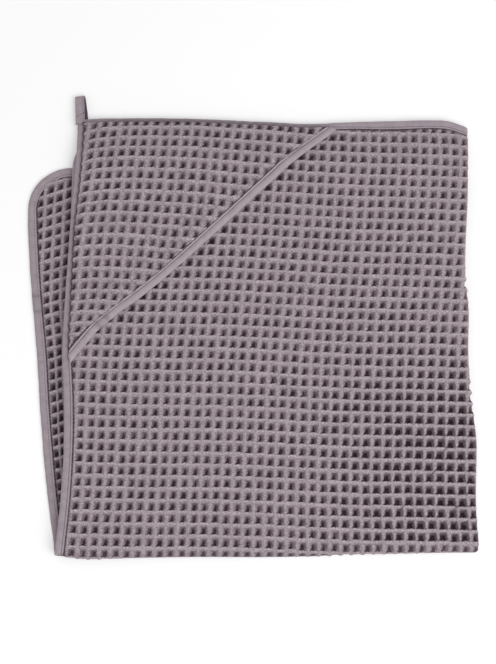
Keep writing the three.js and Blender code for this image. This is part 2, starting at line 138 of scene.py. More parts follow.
# From the towel's left edge to the hood's cloth, at distances up the towel.
HOOD_SEAM = [
    dict(at=-30, inset=7.2), dict(at=35, inset=6.2), dict(at=90, inset=5.0),
    dict(at=130, inset=6.4), dict(at=190, inset=6.6),
]

# ---------------------------------------------------------------- the weave
# Each panel's cells: the middle of one cell, the step to the next column and to the next row down,
# and how those steps change: `twist` by column and row together, `spread` by column and `sag` by
# row.
WEAVES = {
    "upper": dict(
        start=(1.6, -77.2), column=(10.025, -0.314), row=(-0.5356, -10.984),
        twist=(0.0098, 0.0054), spread=(-0.0011, 0), sag=(0.017, -0.0034),
    ),
    "hood": dict(
        start=(-96.6, 131.2), column=(10.04, -0.14), row=(-1.14, -10.51),
        twist=(0, -0.062), spread=(0, -0.048), sag=(0, 0),
    ),
    "lower": dict(
        start=(14.3, 13.5), column=(9.3, 2.5), row=(0, -10.85),
        twist=(0, -0.05), spread=(0.01, 0), sag=(0, 0),
    ),
    "hidden": dict(
        start=(0, 0), column=(10, 0), row=(0, -10.6), twist=(0, 0), spread=(0, 0), sag=(0, 0),
    ),
}
# How the woven lines wander from those even ones. By the distance up the towel: `across` and `up`
# move them, and `spread` moves them further across at each side, by that much 200 mm out.
WANDER_BY_Y = {
    "upper": [
        dict(at=182, across=-2.4, spread=1.0, up=0.3),
        dict(at=152, across=-0.6, spread=2.1, up=0.3),
        dict(at=94, across=1.1, spread=1.6, up=0.3),
        dict(at=64, across=1.2, spread=1.6, up=0.3),
        dict(at=6, across=-0.2, spread=0.6, up=0.2),
        dict(at=-52, across=-0.8, spread=0.7, up=0),
        dict(at=-111, across=0.2, spread=-0.2, up=-0.2),
        dict(at=-140, across=0.1, spread=-0.8, up=-0.3),
        dict(at=-170, across=0.1, spread=0.5, up=-0.4),
        dict(at=-222, across=0.3, spread=4.0, up=-0.6),
    ],
    "hood": [
        dict(at=182, across=-0.8, spread=0, up=2.2),
        dict(at=152, across=0, spread=0.4, up=1.4),
        dict(at=123, across=1.0, spread=2.2, up=0.4),
        dict(at=94, across=0.6, spread=3.0, up=-0.7),
        dict(at=64, across=-0.8, spread=1.3, up=-2.2),
        dict(at=35, across=0, spread=1.0, up=-3.5),
        dict(at=6, across=-1.5, spread=0, up=-3.6),
    ],
    "lower": [
        dict(at=130, across=-0.8, spread=0, up=-1.9),
        dict(at=87, across=0.6, spread=0, up=-1.8),
        dict(at=44, across=-0.2, spread=0, up=-2.0),
        dict(at=1, across=-1.0, spread=0, up=-0.8),
        dict(at=-84, across=-0.2, spread=0, up=1.4),
        dict(at=-126, across=-1.8, spread=0, up=2.7),
        dict(at=-168, across=-1.5, spread=0, up=3.6),
    ],
}
# By the distance across it.
WANDER_BY_X = {
    "upper": [
        dict(at=-156, up=-0.9), dict(at=-122, up=-0.9), dict(at=-88, up=-0.4), dict(at=-54, up=0.5),
        dict(at=-20, up=0.8), dict(at=14, up=0.5), dict(at=48, up=-0.3), dict(at=82, up=-0.9),
        dict(at=117, up=-0.9), dict(at=151, up=-0.2), dict(at=185, up=0.1),
    ],
    "hood": [
        dict(at=-156, up=0), dict(at=-122, up=0.2), dict(at=-88, up=-0.6), dict(at=-54, up=-0.8),
        dict(at=-20, up=-2.0),
    ],
}
RIGHT_RISE = 1.3  # how far the upper panel's last rows rise toward its top right corner
CELL = (10, 10.5)  # about one cell across and down

# Lines of the mesh across one cell, from its middle.
FINEST = (-0.5, -0.35, -0.18, 0.0, 0.18, 0.35)
FINE = (-0.5, -0.36, -0.13, 0.13, 0.36)
MEDIUM = (-0.5, -0.17, 0.17)
COARSE = (-0.5, 0.0)


def smooth(value):
    t = np.clip(value, 0, 1)
    return t * t * (3 - 2 * t)


def read(table, column, at):
    """A smooth line through one column of a table, read at places between its rows."""
    rows = sorted(table, key=lambda row: row["at"])
    places = np.array([row["at"] for row in rows], float)
    values = np.array([row[column] for row in rows], float)
    slopes = np.empty_like(values)
    slopes[1:-1] = (values[2:] - values[:-2]) / (places[2:] - places[:-2])
    slopes[0] = (values[1] - values[0]) / (places[1] - places[0])
    slopes[-1] = (values[-1] - values[-2]) / (places[-1] - places[-2])
    k = np.clip(np.searchsorted(places, at, side="right") - 1, 0, len(rows) - 2)
    span = places[k + 1] - places[k]
    t = np.clip((at - places[k]) / span, 0, 1)
    rise = values[k + 1] - values[k]
    bend = slopes[k] * t * (1 - t) ** 2 - slopes[k + 1] * t * t * (1 - t)
    return values[k] + rise * t * t * (3 - 2 * t) + span * bend


def hang_at(x, y):
    """The drop of the upper leaves past the lower ones' far ends."""
    bulge = np.maximum(read(ENDS, "top", x) - UPPER_END, -HANG_SLACK)
    return HANG_DROP * smooth((y - bulge - HANG_FROM) / HANG_LENGTH)


def fold_line(y):
    return read(SIDES, "fold", y) - ROLL_START


def wrap_line(x):
    return read(ENDS, "bottom", x) + WRAP_START


# ---------------------------------------------------------------- the folded form
class Sheet:
    """One of the towel's two folded sheets: the outer one makes the upper and the lower panel and
    goes round both folds, the inner one makes the two hidden layers."""

    def __init__(self, goes_round, upper, lower, corners, ends):
        self.base = PITCH if goes_round else 0
        self.goes_round = goes_round
        self.wrap_middle = self.base + PITCH / 2
        self.sides = dict(upper=upper, lower=lower)
        self.corners = corners
        self.ends = ends

    def left(self, leaf, y):
        return self.sides[leaf](y)

    def end(self, leaf, x):
        return self.ends[leaf](x)

    def outline(self, leaf, y):
        """The left edge at distances up the towel, with its round corner."""
        radius = self.corners[leaf]
        left = self.left(leaf, y)
        past = np.clip(y - (self.end(leaf, left + radius) - radius), 0, radius)
        return left + radius - np.sqrt(radius**2 - past**2)

    def fold(self, x, y, turn, out):
        """Takes places on the flat sheet round the folds. `x` may run past the right fold, `turn`
        is the way round the bottom fold and `out` the distance out of the middle of the wall."""
        reach = PITCH / 2 + out
        if self.goes_round:
            line = fold_line(y)
            past = np.maximum(x - line, 0)
            roll = np.minimum(past / ROLL_MIDDLE, pi)
            back = np.maximum(past - pi * ROLL_MIDDLE, 0)
            level = self.base + reach * np.cos(roll)
            x = np.minimum(x, line) + reach * np.sin(roll) - back
        else:
            level = self.base + reach
        drop = np.where(turn > 0, 0, hang_at(x, y))
        return x, y - level * np.sin(turn), MIDDLE + level * np.cos(turn) - drop


OUTER = Sheet(
    True,
    upper=lambda y: read(SIDES, "upper", y),
    lower=lambda y: read(SIDES, "lower", y),
    corners=dict(upper=HOOD_CORNER, lower=ROUND_CORNER),
    ends=dict(upper=lambda x: read(ENDS, "top", x), lower=lambda x: LOWER_END + 0 * x),
)
INNER = Sheet(
    False,
    upper=lambda y: read(SIDES, "upper", y) + read(HIDDEN_SIDES, "upper", y),
    lower=lambda y: read(SIDES, "upper", y) + read(HIDDEN_SIDES, "lower", y),
    corners=dict(upper=ROUND_CORNER, lower=ROUND_CORNER),
    ends=dict(
        upper=lambda x: read(ENDS, "top", x) - HIDDEN_INSET["upper"],
        lower=lambda x: LOWER_END - HIDDEN_INSET["lower"] + 0 * x,
    ),
)


def round_the_bottom(x, y, radius):
    """From the flat length to the distance up the towel and the turn round the bottom fold."""
    line = wrap_line(x)
    turn = np.clip((line - y) / radius, 0, pi)
    on = np.maximum(line - y - pi * radius, 0)
    return np.maximum(y, line) + on, turn


# ---------------------------------------------------------------- meshes
def place_in_scene(name, data):
    made = bpy.data.objects.new(name, data)
    bpy.context.scene.collection.objects.link(made)
    return made


def new_piece(name, mesh, finish, node_names):
    piece = place_in_scene(name, mesh)
    mesh.materials.append(finish)
    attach(piece, "root")
    if node_names:
        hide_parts(*node_names)
    return piece


def grid_mesh(name, wide, long):
    """A flat grid, and the column and row of each of its vertices."""
    grid = bmesh.new()
    bmesh.ops.create_grid(grid, x_segments=wide - 1, y_segments=long - 1, size=0.5)
    mesh = bpy.data.meshes.new(name)
    grid.to_mesh(mesh)
    grid.free()
    flat = np.empty(len(mesh.vertices) * 3)
    mesh.vertices.foreach_get("co", flat)
    flat = flat.reshape(-1, 3)
    column = np.rint((flat[:, 0] + 0.5) * (wide - 1)).astype(int)
    row = np.rint((0.5 - flat[:, 1]) * (long - 1)).astype(int)
    return mesh, column, row


MERGE = 0.02  # corners drawn in onto an edge merge when they are this close


def shape_mesh(mesh, places, across, along, form, merge=0.0):
    """Moves a grid's vertices to their places and gives it the pattern's own coordinates. `form`
    is what its finish needs to know at each place."""
    mesh.vertices.foreach_set("co", (np.stack(places, axis=1) * MM).ravel())
    ends = np.empty(len(mesh.loops), int)
    mesh.loops.foreach_get("vertex_index", ends)
    pattern = mesh.uv_layers.new(name="weave")
    pattern.data.foreach_set("uv", np.stack([across[ends], along[ends]], axis=1).ravel())
    cell_form = mesh.attributes.new("cell_form", "FLOAT_VECTOR", "POINT")
    cell_form.data.foreach_set("vector", np.stack(form, axis=1).ravel())
    if merge:
        work = bmesh.new()
        work.from_mesh(mesh)
        bmesh.ops.remove_doubles(work, verts=work.verts, dist=merge * MM)
        work.to_mesh(mesh)
        work.free()
    mesh.shade_smooth()
    mesh.update()


def thicken(piece, thickness, offset=-1):
    wall = piece.modifiers.new("wall", "SOLIDIFY")
    wall.thickness = thickness * MM
    wall.offset = offset


def cell_lines(first, last, places):
    """Lines of the mesh from the first cell to the last, in cells. `places` gives the lines across
    a cell, by its number."""
    lines = [cell + place for cell in range(first, last + 1) for place in places(cell)]
    return np.array(lines + [last + 0.5])


MOST_CELLS = 80  # a panel's chances repeat after this many cells
RIDGE_FROM = 0.42  # from a cell's middle to its ridge, in cells
PIT_FLOOR = 0.02  # from its middle to the pit's walls, in cells
GAPING_FLOOR = 0.1  # and this much more where the pits gape
WAVER = 0.03  # how far a ridge wavers from its line, in cells
UNEVEN_GAPE, UNEVEN_DEPTH = 0.25, 0.1


class Weave:
    """A panel's cells, laid out on the flat sheet."""

    def __init__(self, name, seed):
        self.name = name
        self.steps = WEAVES[name]
        self.chance = np.random.default_rng(seed).random((3, MOST_CELLS, MOST_CELLS))

    def lay(self, i, j):
        """Where a place in the cells lies on the flat sheet."""
        def place(axis):
            s = {key: value[axis] for key, value in self.steps.items()}
            bend = s["twist"] * i * j + s["spread"] * i * i + s["sag"] * j * j
            return s["start"] + s["column"] * i + s["row"] * j + bend

        x, y = place(0), place(1)
        across, up = 0, 0
        if self.name in WANDER_BY_Y:
            wander = WANDER_BY_Y[self.name]
            across = read(wander, "across", y) + read(wander, "spread", y) * x / 200
            up = read(wander, "up", y)
        if self.name in WANDER_BY_X:
            up = up + read(WANDER_BY_X[self.name], "up", x)
        if self.name == "upper":
            up = up + RIGHT_RISE * smooth((x - 110) / 80) * smooth((y - 165) / 25)
        return x + across, y + up

    def uneven(self, kind, i, j):
        """An uneven value between -1 and 1 for each cell, blended to the next one's."""
        column, row = np.floor(i), np.floor(j)
        a, b = smooth(i - column), smooth(j - row)
        value = 0
        for right, share in ((0, 1 - a), (1, a)):
            for below, part in ((0, 1 - b), (1, b)):
                at = tuple(n.astype(int) % MOST_CELLS for n in (column + right, row + below))
                value = value + share * part * self.chance[kind][at]
        return 2 * value - 1

    def relief(self, i, j, opening):
        """How high the cloth stands, from 0 in a cell's pit to 1 on its ridges."""
        u = i - np.rint(i) + WAVER * self.uneven(0, i, j)
        v = j - np.rint(j) + WAVER * self.uneven(1, i, j)
        edge = np.maximum(np.abs(u), np.abs(v))
        wall = np.clip((edge - opening) / (RIDGE_FROM - opening), 0, 1)
        return 0.6 * wall + 0.4 * smooth(wall)


def woven_panel(name, weave, columns, rows, panel, node_names, depth, top):
    """A waffle panel. `panel` says where its edges are, how flat they press it, how wide its cells
    gape, and so how wide and dark their painted shade is, which way that shade leans, and how it
    lies. Cells past an edge are drawn in onto it."""
    mesh, column, row = grid_mesh(name, len(columns), len(rows))
    i, j = columns[column], rows[row]
    for _ in range(5):
        x, y = weave.lay(i, j)
        i = i + (np.maximum(panel.left(y) - x, 0) - np.maximum(x - panel.right(y), 0)) / CELL[0]
        x, y = weave.lay(i, j)
        j = j + (np.maximum(y - panel.top(x), 0) - np.maximum(panel.bottom(x) - y, 0)) / CELL[1]
    x, y = weave.lay(i, j)
    gape = np.clip(panel.gape(x, y) + UNEVEN_GAPE * weave.uneven(2, i, j), 0, 1)
    ridge = weave.relief(i, j, PIT_FLOOR + GAPING_FLOOR * gape)
    fullness = panel.fullness(x, y)
    pit = depth * (1 - ridge) * (1 + UNEVEN_DEPTH * weave.uneven(1, i, j))
    pit = pit * fullness * panel.held(x, y)
    places = panel.place(x, y, top - pit - panel.sink(x, y))
    shape_mesh(mesh, places, i, j, (fullness, gape, panel.lean(x, y)), merge=MERGE)
    piece = new_piece(name, mesh, WAFFLE_FINISH, node_names)
    thicken(piece, CLOTH_SKIN)
    return piece


# ---------------------------------------------------------------- finishes
def linear(colour):
    """A colour written as sRGB hex, in the linear values that a shader takes."""
    parts = [int(colour[k : k + 2], 16) / 255 for k in (1, 3, 5)]
    return (*[p / 12.92 if p <= 0.04045 else ((p + 0.055) / 1.055) ** 2.4 for p in parts], 1)


def feed(tree, node, inputs):
    """Sets or links a node's inputs, given by name or in order. A node given as a value stands for
    its first live output."""
    for socket, value in inputs.items() if isinstance(inputs, dict) else enumerate(inputs):
        if isinstance(value, bpy.types.Node):
            value = next(output for output in value.outputs if output.enabled)
        if isinstance(value, bpy.types.NodeSocket):
            tree.links.new(value, node.inputs[socket])
        else:
            node.inputs[socket].default_value = value


def add(tree, kind, inputs=(), **settings):
    """Adds a node with its settings and its inputs."""
    made = tree.nodes.new("ShaderNode" + kind)
    for name, value in settings.items():
        setattr(made, name, value)
    feed(tree, made, inputs)
    return made


def new_finish(name):
    finish = bpy.data.materials.new(name)
    finish.use_nodes = True
    return finish, finish.node_tree, finish.node_tree.nodes["Principled BSDF"]


def waffle_finish():
    """Waffle-woven cotton in mauve grey, dyed in the yarn. Its loose floats scatter light from
    their fuzz, so the ridges look soft and pale. The walls of a pit are in painted half shade,
    its lower half, under the float that spans it, in painted shade, and that float carries a
    painted highlight.

    Sizes are in cells, which are 10 by 11 mm, and each MapRange takes a value, from where to where,
    and to what."""
    finish, tree, shader = new_finish("waffle_cotton")
    cells = add(tree, "UVMap", uv_map="weave")
    room = add(tree, "TexCoord").outputs["Object"]
    form = add(tree, "Attribute", attribute_name="cell_form").outputs["Vector"]
    fullness, gape, lean = add(tree, "SeparateXYZ", [form]).outputs
    # Fuzz: loose fibre ends about 1 mm apart, which also fray the outline of each pit.
    fuzz = add(tree, "TexNoise", dict(Vector=room, Scale=620.0, Detail=3.0, Roughness=0.65))
    lint = add(tree, "TexNoise", dict(Vector=room, Scale=640.0, Detail=2.0, Roughness=0.8))
    patches = add(tree, "TexNoise", dict(Vector=room, Scale=55.0, Detail=2.0))
    fray = add(
        tree, "VectorMath", [fuzz.outputs["Color"], (0.26, 0.26, 0.0), cells],
        operation="MULTIPLY_ADD",
    )
    # Each pit is pulled out of square by its own threads.
    number = add(tree, "VectorMath", [cells, (0.5, 0.5, 0.0)], operation="ADD")
    number = add(tree, "VectorMath", [number], operation="FLOOR")
    chance = add(tree, "TexWhiteNoise", dict(Vector=number), noise_dimensions="2D")
    pulled = add(
        tree, "VectorMath", [chance.outputs["Color"], (0.09, 0.08, 0.0), fray],
        operation="MULTIPLY_ADD",
    )
    frayed = add(tree, "VectorMath", [pulled, (0.175, 0.17, 0.0)], operation="SUBTRACT")
    # A place in its cell, from -0.5 to 0.5 across and down.
    cell = add(tree, "VectorMath", [frayed, (0.5, 0.5, 0.5), (-0.5, -0.5, -0.5)], operation="WRAP")
    across, down, _ = add(tree, "SeparateXYZ", [cell]).outputs
    aside = add(tree, "Math", [across], operation="ABSOLUTE")
    updown = add(tree, "Math", [down], operation="ABSOLUTE")
    edge = add(tree, "Math", [aside, updown], operation="MAXIMUM")
    # Painted half shade on a pit's walls: none on the ridges, full down in the pit.
    wall = add(tree, "MapRange", [edge, 0.44, 0.12])
    # Painted shade in a pit: a narrow stem, which leans, on a wide foot along its lower ridge.
    foot = add(tree, "MapRange", [down, -0.06, 0.36])
    foot = add(tree, "Math", [foot, 3.0], operation="POWER")
    stem = add(tree, "Math", [lean, 0.075, 0.025], operation="MULTIPLY_ADD")
    slide = add(tree, "Math", [lean, -0.05, -0.13], operation="MULTIPLY_ADD")
    middle = add(tree, "Math", [foot, slide, stem], operation="MULTIPLY_ADD")
    shade_aside = add(tree, "Math", [across, middle], operation="SUBTRACT")
    shade_aside = add(tree, "Math", [shade_aside], operation="ABSOLUTE")
    half_width = add(tree, "Math", [gape, 0.17, 0.07], operation="MULTIPLY_ADD")
    chance_width = [chance.outputs["Value"], 0.06, half_width]
    half_width = add(tree, "Math", chance_width, operation="MULTIPLY_ADD")
    half_width = add(tree, "Math", [foot, 0.18, half_width], operation="MULTIPLY_ADD")
    within = add(tree, "Math", [half_width, shade_aside], operation="SUBTRACT")
    inside = add(tree, "MapRange", [within, -0.07, 0.08])
    above = add(tree, "MapRange", [down, -0.34, -0.02])
    below = add(tree, "MapRange", [down, 0.39, 0.32])
    shade = add(tree, "Math", [above, below], operation="MULTIPLY")
    shade = add(tree, "Math", [shade, inside], operation="MULTIPLY")
    # Painted half shade fills the rest of a pit, more of it where the pits gape.
    pit_reach = add(tree, "Math", [gape, 0.11, 0.24], operation="MULTIPLY_ADD")
    beside = add(tree, "Math", [lean, -0.03, 0.03], operation="MULTIPLY_ADD")
    beside = add(tree, "Math", [across, beside], operation="SUBTRACT")
    beside = add(tree, "Math", [beside], operation="ABSOLUTE")
    taper = add(tree, "Math", [down, -0.15, beside], operation="MULTIPLY_ADD")
    pit_edge = add(tree, "Math", [taper, updown], operation="MAXIMUM")
    in_pit = add(tree, "Math", [pit_reach, pit_edge], operation="SUBTRACT")
    in_pit = add(tree, "MapRange", [in_pit, -0.06, 0.06])
    half_shade = add(tree, "Math", [gape, 0.36, 0.28], operation="MULTIPLY_ADD")
    half_shade = add(tree, "Math", [in_pit, half_shade], operation="MULTIPLY")
    shade = add(tree, "Math", [shade, half_shade], operation="MAXIMUM")
    shade = add(tree, "Math", [shade, fullness], operation="MULTIPLY")
    # Painted shade in the thin gap where the cloth dips beside a tape, broken by its ridges.
    gap_shade = add(tree, "MapRange", [fullness, 0.95, 0.45])
    broken = add(tree, "MapRange", [fuzz.outputs["Fac"], 0.42, 0.6, 1.0, 0.65])
    gap_shade = add(tree, "Math", [gap_shade, broken], operation="MULTIPLY")
    shade = add(tree, "Math", [shade, gap_shade], operation="MAXIMUM")
    wall = add(tree, "Math", [wall, fullness], operation="MULTIPLY")
    # A painted highlight: a small arc on the float that spans the lower edge of a pit.
    arched = add(tree, "Math", [aside, -0.3, down], operation="MULTIPLY_ADD")
    off_float = add(tree, "Math", [arched, 0.4], operation="SUBTRACT")
    off_float = add(tree, "Math", [off_float], operation="ABSOLUTE")
    arc_highlight = add(tree, "MapRange", [off_float, 0.07, 0.0])

    # Ridge colour, then the walls' painted half shade, then the painted shade in the pits.
    ridge_and_wall_shade = dict(Factor=wall, A=linear("#b5a8af"), B=linear("#85747c"))
    cloth = add(tree, "Mix", ridge_and_wall_shade, data_type="RGBA")
    shade_colour = dict(Factor=gape, A=linear("#3a2932"), B=linear("#2b1a24"))
    shade_colour = add(tree, "Mix", shade_colour, data_type="RGBA")
    cloth = add(tree, "Mix", dict(Factor=shade, A=cloth, B=shade_colour), data_type="RGBA")
    grain = add(tree, "MapRange", [lint.outputs["Fac"], 0.34, 0.66, 0.62, 1.38])
    tint = add(tree, "MapRange", [patches.outputs["Fac"], 0.3, 0.7, 0.94, 1.05])
    gain = add(tree, "Math", [grain, tint], operation="MULTIPLY")
    gain = add(tree, "Math", [arc_highlight, 0.4, gain], operation="MULTIPLY_ADD")
    colour = add(tree, "VectorMath", {0: cloth, "Scale": gain}, operation="SCALE")
    # Ten yarns a cell each way.
    yarn = dict(Vector=cells, Scale=3.14, Distortion=1.5, Detail=1.0)
    warp, weft = (add(tree, "TexWave", yarn, bands_direction=way).outputs["Fac"] for way in "XY")
    yarns = add(tree, "Math", [warp, weft], operation="MAXIMUM")
    height = add(tree, "Math", [fuzz.outputs["Fac"], 2.0, yarns], operation="MULTIPLY_ADD")
    bump = add(tree, "Bump", dict(Height=height, Strength=0.8, Distance=0.0004))
    feed(tree, shader, {
        "Base Color": colour, "Normal": bump, "Roughness": 0.95, "Specular IOR Level": 0.2,
        "Sheen Weight": 0.1, "Sheen Roughness": 0.6,
    })
    return finish


def tape_finish():
    """Plain-woven cotton tape, folded lengthwise over the edge: smoother and a little paler than
    the waffle, with fine threads that catch the light along it."""
    finish, tree, shader = new_finish("tape_cotton")
    tape_place = add(tree, "UVMap", uv_map="weave")
    room = add(tree, "TexCoord").outputs["Object"]
    # Threads 0.9 mm apart, drawn twice as coarse as they are so that they show.
    thread = dict(Vector=tape_place, Scale=0.35, Distortion=0.6)
    warp, weft = (add(tree, "TexWave", thread, bands_direction=way).outputs["Fac"] for way in "XY")
    threads = add(tree, "Math", [warp, weft], operation="ADD")
    wear = add(tree, "TexNoise", dict(Vector=room, Scale=180.0, Detail=3.0))
    shade = add(tree, "ValToRGB", dict(Fac=wear.outputs["Fac"]))
    less, more = shade.color_ramp.elements
    less.position, less.color = 0.3, linear("#a1949c")
    more.position, more.color = 0.7, linear("#afa2aa")
    # Painted highlight where the nap would catch the light, and painted shade on creases, seams,
    # the stitch groove, a join, and what lies under another tape or stands against the hood.
    form = add(tree, "Attribute", attribute_name="cell_form").outputs["Vector"]
    painted_shade, painted_highlight, _ = add(tree, "SeparateXYZ", [form]).outputs
    with_highlight = add(tree, "Mix", dict(Factor=painted_highlight, A=shade, B=linear("#d0c3cb")), data_type="RGBA")
    creased = dict(Factor=painted_shade, A=with_highlight, B=linear("#4a4246"))
    creased = add(tree, "Mix", creased, data_type="RGBA")
    bump = add(tree, "Bump", dict(Height=threads, Strength=0.3, Distance=0.0002))
    feed(tree, shader, {
        "Base Color": creased, "Normal": bump, "Roughness": 0.9, "Specular IOR Level": 0.25,
        "Sheen Weight": 0.1,
    })
    return finish


def thread_finish():
    """Mercerised sewing thread, coloured darker than the tape as painted shade for its groove."""
    finish, tree, shader = new_finish("sewing_thread")
    room = add(tree, "TexCoord").outputs["Object"]
    twist = add(tree, "TexNoise", dict(Vector=room, Scale=2500.0))  # its plies, 0.4 mm apart
    shade = add(tree, "ValToRGB", dict(Fac=twist.outputs["Fac"]))
    for stop, colour in zip(shade.color_ramp.elements, ("#493e44", "#786c72")):
        stop.color = linear(colour)
    feed(tree, shader, {"Base Color": shade, "Roughness": 0.6})
    return finish


WAFFLE_FINISH = waffle_finish()
TAPE_FINISH = tape_finish()
THREAD_FINISH = thread_finish()

# ---------------------------------------------------------------- the waffle panels
TAPE_COVERS = 3.0  # the cloth's mesh ends this far inside the tape's outer line
PRESSED_TO = TAPE_WIDTH  # under the tape the cloth is pressed flat
SWOLLEN_FROM = 10.8  # and this far in it has its full relief
PRESSED_SINK = 1.2  # how far the cloth dips where it is pressed
ANYWHERE = 1000.0


def swollen(from_edge):
    return smooth((from_edge - PRESSED_TO) / (SWOLLEN_FROM - PRESSED_TO))


class UpperPanel:
    """The upper panel, with both folds. Each question is asked for places on the flat sheet."""

    sheet = OUTER
    pressed_sink = PRESSED_SINK

    def left(self, y):
        return self.sheet.outline("upper", y) + TAPE_COVERS

    def right(self, y):
        return fold_line(y) + pi * ROLL_MIDDLE + RETURN - SHORT

    def top(self, x):
        return self.sheet.end("upper", x) - TAPE_COVERS

    def bottom(self, x):
        return -ANYWHERE + 0 * x

    def from_edge(self, x, y):
        up, _ = round_the_bottom(x, y, WRAP_MIDDLE)
        from_top = self.sheet.end("upper", x) - up + read(ROLLED_TAPE, "by", x)
        return np.minimum(x - self.sheet.outline("upper", up), from_top)

    def fullness(self, x, y):
        """How much of its relief the cloth has: none under a tape, a little less on the fold."""
        return swollen(self.from_edge(x, y)) * (1 - 0.15 * smooth((wrap_line(x) + 3 - y) / 7))

    def sink(self, x, y):
        return self.pressed_sink * (1 - self.fullness(x, y))

    def held(self, x, y):
        """How much of its pits' depth a seam leaves."""
        return 1.0

    def gape(self, x, y):
        """How wide the pits gape, from 0 to 1, and so how wide and dark their painted shade is."""
        on_the_fold = smooth((wrap_line(x) + 6 - y) / 6)
        low_right = smooth((x - 10) / 190) * smooth((20 - y) / 140)
        # Beside the hood's binding the pits take more painted shade, for the binding's shadow.
        past_hood = (x - diagonal_at(y)) / HOOD_SLANT
        by_hood = np.exp(-(((past_hood - 4) / 5) ** 2)) * (y > 0)
        return 0.12 + 0.85 * low_right * (1 - on_the_fold) + 0.25 * on_the_fold + 0.5 * by_hood

    def lean(self, x, y):
        """Which way the painted shade in the pits leans: -1 at the right, 1 at the left edge."""
        return np.clip((-70 - x) / 120, -1, 1)

    def place(self, x, y, height):
        up, turn = round_the_bottom(x, y, WRAP_MIDDLE)
        return self.sheet.fold(x, up, turn, height)


class LowerPanel(UpperPanel):
    """The lower panel. Its inner face looks up where its left edge peeks out."""

    def left(self, y):
        return self.sheet.outline("lower", y) + TAPE_COVERS

    def top(self, x):
        return self.sheet.end("lower", x) - TAPE_COVERS

    def bottom(self, x):
        return wrap_line(x) + 1.5

    def from_edge(self, x, y):
        return np.minimum(x - self.sheet.outline("lower", y), self.sheet.end("lower", x) - y)

    def gape(self, x, y):
        # Its pits gape wider, with wider and darker painted shade, more so lower down.
        return 0.6 + 0.3 * smooth(-y / 120)

    def place(self, x, y, height):
        height = np.maximum(height, CLOTH_SKIN - WAFFLE / 2)  # not below the floor
        return self.sheet.fold(x, y, np.full_like(y, pi), -height)


class HiddenPanel(UpperPanel):
    """The two hidden layers, one sheet folded at the bottom."""

    sheet = INNER
    pressed_sink = 0.3

    def lies(self, x, y):
        return round_the_bottom(x, y, self.sheet.wrap_middle)

    def left(self, y):
        up, turn = self.lies(0 * y, y)
        below = self.sheet.outline("lower", up)
        return np.where(turn > pi / 2, below, self.sheet.outline("upper", up)) + TAPE_COVERS

    def right(self, y):
        up, _ = self.lies(0 * y, y)
        return fold_line(up) - RETURN - SHORT

    def bottom(self, x):
        line = wrap_line(x)
        end = self.sheet.end("lower", x) - TAPE_COVERS
        return line - pi * self.sheet.wrap_middle - (end - line)

    def from_edge(self, x, y):
        up, turn = self.lies(x, y)
        end = np.where(turn > pi / 2, self.sheet.end("lower", x), self.sheet.end("upper", x))
        return np.minimum(x - self.left(y) + TAPE_COVERS, end - up)

    def place(self, x, y, height):
        up, turn = self.lies(x, y)
        return self.sheet.fold(x, up, turn, height)


DIAGONAL = [read(HOOD_DIAGONAL, axis, np.linspace(0, 7, 141)) for axis in ("x", "y")]
HOOD_SLANT = 1.38  # the diagonal's length by its rise
HOOD_TIP = -30.0  # the hood's cloth ends here, under its binding
HOOD_LOBE = 121.0  # one of the ridges that end in a lobe at the left seam
HOOD_ROW = 10.4  # from one of them to the next
HOOD_PRESSED = 1.6  # how far the hood's seams hold it down


def on_upper_panel(x, y, height):
    """A place at a height over the middle of the upper panel's wall."""
    return x, y, MIDDLE + 1.5 * PITCH + height - hang_at(x, y)


def diagonal_at(y):
    return np.interp(y, DIAGONAL[1][::-1], DIAGONAL[0][::-1])


class HoodPanel(UpperPanel):
    """The hood, sewn down along the top and the left edge, where each of its ridges bulges over the
    binding in a lobe."""

    def left(self, y):
        lobes = 0.5 + 0.5 * np.cos(2 * pi * (y - HOOD_LOBE) / HOOD_ROW)
        return read(SIDES, "upper", y) + read(HOOD_SEAM, "inset", y) - 1.0 * lobes

    def right(self, y):
        return diagonal_at(y) - TAPE_COVERS * HOOD_SLANT

    def top(self, x):
        return read(ENDS, "top", x) - HOOD_TOP_INSET

    def bottom(self, x):
        return HOOD_TIP + 0 * x

    def from_seam(self, x, y):
        return np.minimum(x - self.left(y), self.top(x) - y)

    def from_edge(self, x, y):
        return (diagonal_at(y) - x) / HOOD_SLANT

    def fullness(self, x, y):
        # Near the left seam the cloth has less relief and takes the painted shade of a gap.
        seam = 0.25 + 0.75 * smooth((x - self.left(y)) / 1.6)
        return seam * swollen(self.from_edge(x, y))

    def held(self, x, y):
        return 0.45 + 0.55 * smooth(self.from_seam(x, y) / 3)

    def sink(self, x, y):
        by_seam = 1 - smooth(self.from_seam(x, y) / 5)
        return PRESSED_SINK * (1 - swollen(self.from_edge(x, y))) + HOOD_PRESSED * by_seam

    def gape(self, x, y):
        return 0.2 * smooth((y - 60) / 120)

    def place(self, x, y, height):
        return on_upper_panel(x, y, HOOD_LIFT + height)


class HoodWeave(Weave):
    """The hood's cells. Its left seam pulls its first columns out and down, most near the top."""

    def lay(self, i, j):
        x, y = super().lay(i, j)
        in_from_seam = np.maximum(x - read(SIDES, "upper", y) - read(HOOD_SEAM, "inset", y), 0)
        pull = 2.5 + 2.5 * smooth((y - 20) / 150)
        held = np.exp(-in_from_seam / 8)
        return x - 1.4 * held, y - pull * held


class LowerWeave(Weave):
    """The lower panel's cells. Their columns run along its bound edge and part from it near the far
    end. Lower down they crowd together where they go under the upper panel."""

    def lay(self, i, j):
        in_from_edge, y = super().lay(i, j)
        parting = 9.2 * np.clip((y - 20) / 110, 0, 1.6) ** 1.2
        crowded = 1 - 0.16 * smooth(-y / 70) * (i > 0) * np.minimum(i, 2.5) / np.maximum(i, 1)
        return in_from_edge * crowded + parting + read(SIDES, "lower", y), y


